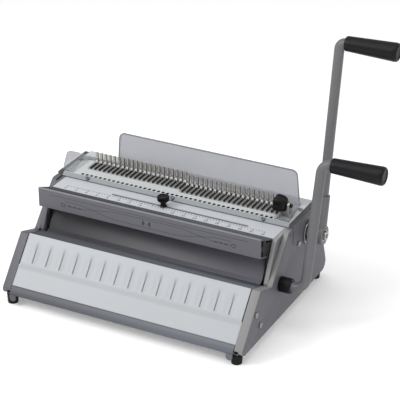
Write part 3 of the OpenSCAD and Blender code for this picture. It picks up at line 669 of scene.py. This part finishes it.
class CombDeck(bpy.types.Operator):
    """Paints the deck, its print, painted shade in and about the holes and under the rods, and the
    strips under it.
    """

    bl_idname = "comb.deck"
    bl_label = "Deck and strips under it"

    def execute(self, context):
        strips = ("die_bar", "depth_stop")
        milled = ("punch_guide", "press_beam", "drive_keys")
        p, m = ready(context, "deck", *strips, *milled)
        deck = paint("deck_paint", grey(p.white + 14, (0.975, 0.995, 1.0)), 0.5, wear=p.wear)
        # Painted shade: the lip in front is darker
        lip_y = 173.4
        deck.tint((lip_y - deck.my).ramp(0.0, 1.6) * 0.7, grey(112, (0.97, 1.0, 1.03)))
        # A fine print behind the holes: a dot between each two holes, and a dash at each fifth dot
        dash_y, dot_y = 184.2, 183.4
        row = deck.mx.near(0, ROW_HALF - 1.6, 0.2)
        fives = deck.mx.wrap(PITCH * 5).near(0, 1.3, 0.4) * deck.my.near(dash_y, 0.5)
        dots = deck.mx.wrap(PITCH).near(0, 0.3, 0.2) * deck.my.near(dot_y, 0.6)
        deck.tint((fives + dots * 0.6).clamp() * row * m.strength * 0.6, (0.30, 0.10, 0.14))
        # Painted shade: dark discs about the holes, and dark ground under the rods, further back in the
        # left half
        disc_r = 3.0
        off = (deck.mx + PITCH / 2).wrap(PITCH)
        away = deck.my - HOLE_Y
        hole_shade = 1.0 - (off * off + away * away).root().ramp(disc_r - 0.2, disc_r + 0.2)
        rod_front, rod_back, row_step = 198.0, 226.0, 8.0
        rod_y = deck.my + deck.mx.ramp(0.0, 0.5) * row_step
        rod_shade = rod_y.ramp(rod_front - 0.6, rod_front + 0.6) * (rod_back - deck.my).ramp(0.0, 1.0)
        deck.tint((hole_shade + off.near(0, 2.3, 0.5) * rod_shade * 0.9).clamp() * row, grey(12))
        deck.tint(rod_shade * row * 0.6, grey(48))
        dress(("deck",), deck, 0, smooth=False)
        dress(strips, metal("ground_steel", grey(70), 0.5, "x"), 0.15)
        dress(milled, metal("milled_steel", grey(150), 0.38, "x"), 0.2)
        return {"FINISHED"}


class CombFeed(bpy.types.Operator):
    """Paints the feed plate and prints its plain scale."""

    bl_idname = "comb.feed"
    bl_label = "Feed plate and scale"

    def execute(self, context):
        p, m = ready(context, "feed_plate")
        feed = paint("feed_paint", grey(p.white + 14, COOL), 0.45, wear=p.wear)
        # Every fourth tick is longer and wider
        half = m.tick_width / 2
        short_y, long_y = 139.0, 137.8
        short = feed.mx.wrap(m.tick_gap).near(0, half, 0.2) * feed.my.near(short_y, 1.8)
        long = feed.mx.wrap(m.tick_gap * 4).near(0, half + 0.2, 0.2) * feed.my.near(long_y, 3.0)
        ends = feed.mx.near(0, SCALE_END + 0.5, 0.2)
        feed.tint((short + long).clamp() * ends * m.strength, grey(48))
        dress(("feed_plate",), feed, 0, smooth=False)
        # No number stands under the side stop
        number_y, number_height, stop_clear = 130.4, 5.2, 16
        bm = bmesh.new()
        for x in range(-SCALE_END, SCALE_END + 1, m.number_gap):
            if abs(x - STOP_X) > stop_clear:
                write(bm, str((x + SCALE_END) // 10), number_height, at(x, number_y, FEED_TOP + 0.02))
        ink = Surface("scale_ink", Roughness=0.5)
        ink.set("Base Color", ink.mix(grey(44), grey(58), ink.noise(400, 3)))
        numbers = add("scale_numbers", mesh_of(bm, "scale_numbers"), ink, "frame")
        return {"FINISHED"}


class CombBar(bpy.types.Operator):
    """Coats the closing bar, with its plain lines and marks, and its strip and arms."""

    bl_idname = "comb.bar"
    bl_label = "Closing bar"

    def execute(self, context):
        p, m = ready(context, "closing_bar", "bar_top_strip", "bar_carrier", "bar_arms")
        s = paint("bar_coat", grey(90, VIOLET), 0.42, wear=p.wear)
        face_y = 80
        face = s.mx.near(0, 178, 0.6) * s.my.near(face_y, 0.6, 0.1)
        # Two straight lines, and two between them that sway toward each other
        low, high = 139.5, 165.0
        low_wave, high_wave = 147, 161
        thin = {"half": 0.42, "soft": 0.4}
        sway = (s.mx.abs() - 60).at_least(0.0).at_most(60.0)
        rules = s.mz.near(low, **thin) + s.mz.near(high, **thin)
        waves = (s.mz - (low_wave + sway * 0.2)).near(0, **thin)
        waves = (waves + (s.mz - (high_wave - sway * 0.16)).near(0, **thin)) * s.mx.near(0, 150, 4.0)
        s.tint((rules + waves).clamp() * face * 0.9, grey(42))
        # Painted highlight: the upper edge is bright
        edge = s.mz.ramp(172.2, 172.6) * (face_y + 2.0 - s.my).ramp(0.0, 0.3)
        s.tint(edge * 0.6, grey(165, (0.98, 0.98, 1.04)))
        # Two wedges that point at each other in the middle, and dashes with a ring at each end
        wedge_z, dash_z, dash_x, ring_x = 154, 152, 132, 154
        reach = s.mx.abs()
        wedge = (s.mz - wedge_z).abs() * 0.9
        wedges = (reach - 2.2 - wedge).ramp(0.0, 0.5) * (7.5 - reach).ramp(0.0, 0.4)
        side = reach - dash_x
        dashes = side.wrap(9.0).near(0, 2.8, 0.4) * side.near(0, 13.0, 0.3) * s.mz.near(dash_z, 1.2, 0.3)
        from_x = reach - ring_x
        from_z = s.mz - dash_z
        rings = (from_x * from_x + from_z * from_z).root().near(3.2, 0.7, 0.3)
        s.tint((wedges + dashes * 0.8 + rings * 0.8).clamp() * face * m.strength, grey(20))
        dress(("closing_bar",), s, 0.5, 3)
        strip_tint = (0.98, 1, 1.06)
        strip = paint("strip_coat", grey(74, strip_tint), 0.55)
        # Painted shade: the strip is darker toward the left
        strip.tint(strip.mx.ramp(150.0, -150.0) * 0.9, grey(34, strip_tint))
        dress(("bar_top_strip",), strip, 0.4)
        dress(("bar_carrier", "bar_arms"), plastic("bar_black", grey(34), 0.5), 0.3)
        return {"FINISHED"}


class CombSelectors(bpy.types.Operator):
    """Finishes the selector fingers: polished rods in front, bent steel tips behind."""

    bl_idname = "comb.selectors"
    bl_label = "Selectors"

    def execute(self, context):
        rows = [f"selector_row_{i}" for i in range(1, 7)]
        ready(context, *rows)
        bend_z, rod_top, tip_z = 168.2, 170.0, 183.0
        s = metal("finger_steel", grey(226, (1.0, 0.965, 0.92)), 0.42, "z", stain=0.25)
        s.tint((rod_top - s.mz).ramp(-3.0, 2.0), grey(205, (1.0, 0.99, 0.98)))
        # Painted shade: dark flanks, tips, edges and bends
        s.tint(s.facing(0).ramp(0.45, 0.8) * 0.85, grey(46, (1.0, 0.93, 0.88)))
        s.tint((tip_z - s.mz).ramp(1.7, 1.0) * 0.6, grey(54))
        rim = (s.mx + PITCH / 2).wrap(PITCH).ramp(1.3, 1.9) * s.mz.ramp(168.0, 171.0)
        s.tint(rim * 0.65, grey(58))
        s.tint(s.mz.near(bend_z, 3.0, 1.5) * 0.6, grey(96))
        dress(rows, s, 0.5, 3)
        return {"FINISHED"}


class CombLevers(bpy.types.Operator):
    """Paints the two lever tubes and the hub, and moulds the grips and the bush."""

    bl_idname = "comb.levers"
    bl_label = "Levers and grips"

    def execute(self, context):
        tubes = ("punch_lever_tube", "closing_lever_tube", "lever_hub")
        grips = ("punch_grip", "closing_grip")
        shafts = ("punch_shaft", "closing_shaft", "eccentrics", "closing_cranks")
        p, _ = ready(context, *tubes, *grips, *shafts, "closing_bush")
        dress(tubes, paint("lever_paint", grey(p.lever, (1, 1, 1.03)), 0.4, wear=p.wear), 0.4, 3)
        dress(grips, plastic("grip_plastic", grey(13, (1, 1, 1.25)), 0.42), 0.6, 3)
        dress(("closing_bush",), plastic("bush_plastic", grey(10, (1, 1, 1.2)), 0.45), 0.6, 3)
        dress(shafts, metal("shaft_steel", grey(160), 0.28, "x"), 0.2)
        return {"FINISHED"}


class CombKnobs(bpy.types.Operator):
    """Turns the two black knobs and grinds their brackets."""

    bl_idname = "comb.knobs"
    bl_label = "Knobs and their brackets"

    def execute(self, context):
        brackets = ("side_stop", "size_knob_bracket")
        ready(context, "stop_knob", "size_knob", *brackets)
        black = plastic("knob_plastic", grey(2, (1, 1, 1.2)), 0.4)
        upright = Matrix.Translation(at(STOP_X, STOP_Y, FEED_TOP + 0.1))
        knob = turned_knob("stop_knob_knurled", STOP_KNOB, knurl, upright, black, "stop_clamp")
        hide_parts("stop_knob")
        lying = Matrix.Translation(at(*SIZE_KNOB_AT)) @ Matrix.Rotation(math.radians(90), 4, "Y")
        dial = turned_knob("size_knob_lobed", SIZE_KNOB, lobe, lying, black, "size_dial")
        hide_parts("size_knob")
        dress(brackets, metal("bracket_steel", grey(165), 0.32, "z"), 0.3)
        return {"FINISHED"}


class CombShield(bpy.types.Operator):
    """Makes the clear sheet see-through, with painted shade on its cut edges."""

    bl_idname = "comb.shield"
    bl_label = "Clear shield"

    def execute(self, context):
        ready(context, "acrylic_shield")
        s = Surface("clear_sheet", IOR=1.49)
        smear = s.noise(26, 5, 0.65)
        s.set("Base Color", s.mix(grey(168, GLASS), grey(174, GLASS), smear))
        s.set("Roughness", 0.2 + smear.ramp(0.5, 0.8) * 0.1)
        # The upright sheet narrows toward its top, and its rim follows two round corners
        sheet_x, sheet_half, sheet_top, corner_r = 29.5, 157.5, 213.0, 9.1
        lean = (s.mz - DECK_TOP) * (5 / 61)
        out = (s.mx - sheet_x).abs() - sheet_half + lean
        up = s.mz - sheet_top
        past_x = out.at_least(0)
        past_z = up.at_least(0)
        corner = (past_x * past_x + past_z * past_z).root()
        from_rim = corner + out.maths("MAXIMUM", up).at_most(0.0)
        rim = from_rim.ramp(corner_r - 0.6, corner_r) * s.mz.ramp(170, 172)
        # The tabs on the deck are clear, apart from their cut edges and the wing past the left panel
        low = (s.mz - 165.0).ramp(0.6, -0.6)
        cut = (1.0 - s.facing(2)).ramp(0.2, 0.5) * low * (228.0 - s.my).ramp(0.0, 1.0)
        wing = low * (-PANEL_OUT - s.mx).ramp(-0.5, 0.5)
        s.tint(wing * 0.7, grey(146, GLASS))
        # Painted shade: the rim and the cut edges are darker
        s.tint((rim + cut).clamp() * 0.8, grey(96, GLASS))
        clear = (0.62 + smear * 0.03) * (1.0 - low * (1.0 - wing))
        cut_alpha = 0.05 + s.mx.ramp(186, 190) * 0.4 + wing * 0.35
        s.set("Alpha", (clear + rim * 0.3 + cut * cut_alpha).clamp())
        dress(("acrylic_shield",), s, 0.3, 2)
        return {"FINISHED"}


class CombScrews(bpy.types.Operator):
    """Plates the screws, posts, rods and pins."""

    bl_idname = "comb.screws"
    bl_label = "Screws, posts and pins"

    def execute(self, context):
        heads = ("shield_screws", "deck_screws", "panel_screws", "hub_bolt", "hub_ring")
        rods = ("guide_posts", "tie_rods", "driven_pins", "idle_pins")
        ready(context, *heads, *rods, "lip_screws")
        bright = metal("screw_steel", grey(165), 0.26, "z")
        dress(heads, bright, 0.3, 2)
        dress(("lip_screws",), metal("blued_steel", grey(92, (0.92, 0.98, 1.1)), 0.34, "z"), 0.3, 2)
        dress(rods, bright, 0.2)
        return {"FINISHED"}


class CombSprings(bpy.types.Operator):
    """Winds the two press springs."""

    bl_idname = "comb.springs"
    bl_label = "Press springs"

    def execute(self, context):
        ready(context, "press_springs")
        lo, hi = (Vector(v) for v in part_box("press_springs"))
        wound = metal("spring_steel", grey(120), 0.3, "x")
        bm = bmesh.new()
        reach, wire = (COIL_R + WIRE_R) * MM, WIRE_R * MM
        for x in (lo.x + reach, hi.x - reach):
            wind(bm, Vector((x, (lo.y + hi.y) / 2, lo.z + wire)), hi.z - lo.z - 2 * wire)
        springs = add("press_springs_wound", mesh_of(bm, "press_springs_wound"), wound, "frame",
                      smooth=True)
        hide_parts("press_springs")
        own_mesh(springs)
        return {"FINISHED"}


class CombFeet(bpy.types.Operator):
    """Moulds the rubber feet."""

    bl_idname = "comb.feet"
    bl_label = "Feet"

    def execute(self, context):
        ready(context, "feet")
        dress(("feet",), plastic("foot_rubber", grey(20), 0.7, 2.0), 0.8, 3)
        return {"FINISHED"}


class CombStage(bpy.types.Operator):
    """Lays the floor and sets the lights and the camera."""

    bl_idname = "comb.stage"
    bl_label = "Floor, lights and camera"

    def execute(self, context):
        scene = context.scene
        bm = bmesh.new()
        bmesh.ops.create_grid(bm, x_segments=1, y_segments=1, size=FLOOR_HALF)
        floor = Surface("floor_white", Roughness=0.9, Emission_Color=(1, 1, 1), Emission_Strength=0.2)
        floor.set("Base Color", floor.mix((0.90, 0.90, 0.90), (0.93, 0.93, 0.93), floor.noise(3, 2)))
        ground = add("floor", mesh_of(bm, "floor"), floor, None)
        camera = bpy.data.objects.new("camera", bpy.data.cameras.new("camera"))
        camera.data.lens = LENS
        camera.data.sensor_width = SENSOR
        camera.data.clip_end = 50
        camera.data.dof.use_dof = False
        camera.location = CAMERA_AT
        camera.rotation_euler = Euler((math.radians(90 - CAMERA_DOWN), 0, math.radians(CAMERA_TURN)))
        scene.collection.objects.link(camera)
        scene.camera = camera
        for name, place, size, power, aim in LIGHTS:
            light = bpy.data.objects.new(name, bpy.data.lights.new(name, "AREA"))
            light.data.size = size
            light.data.energy = power
            light.location = place
            light.rotation_euler = (Vector(aim) - Vector(place)).to_track_quat("-Z", "Y").to_euler()
            scene.collection.objects.link(light)
        world = bpy.data.worlds.new("world")
        world.use_nodes = True
        back = next(n for n in world.node_tree.nodes if n.type == "BACKGROUND")
        back.inputs["Color"].default_value = (1, 1, 1, 1)
        back.inputs["Strength"].default_value = SKY_STRENGTH
        scene.world = world
        scene.view_settings.view_transform = "Standard"
        return {"FINISHED"}


STEPS = (CombPanels, CombCover, CombDeck, CombFeed, CombBar, CombSelectors, CombLevers, CombKnobs,
         CombShield, CombScrews, CombSprings, CombFeet, CombStage)


class CombPanel(bpy.types.Panel):
    """Lists the settings and the operators in the sidebar."""

    bl_idname = "COMB_PT_main"
    bl_label = "Comb machine"
    bl_space_type = "VIEW_3D"
    bl_region_type = "UI"
    bl_category = "Comb machine"

    def draw(self, context):
        for group in (context.scene.comb_paint, context.scene.comb_marks):
            for key in group.__annotations__:
                self.layout.prop(group, key)
        for step in STEPS:
            self.layout.operator(step.bl_idname)


CLASSES = (CombPaint, CombMarks, *STEPS, CombPanel)


def register():
    for c in CLASSES:
        bpy.utils.register_class(c)
    bpy.types.Scene.comb_paint = bpy.props.PointerProperty(type=CombPaint)
    bpy.types.Scene.comb_marks = bpy.props.PointerProperty(type=CombMarks)


def unregister():
    del bpy.types.Scene.comb_marks
    del bpy.types.Scene.comb_paint
    for c in reversed(CLASSES):
        bpy.utils.unregister_class(c)


def main():
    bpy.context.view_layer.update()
    register()
    for step in STEPS:
        group, call = step.bl_idname.split(".")
        getattr(getattr(bpy.ops, group), call)()


if __name__ == "__main__":
    main()
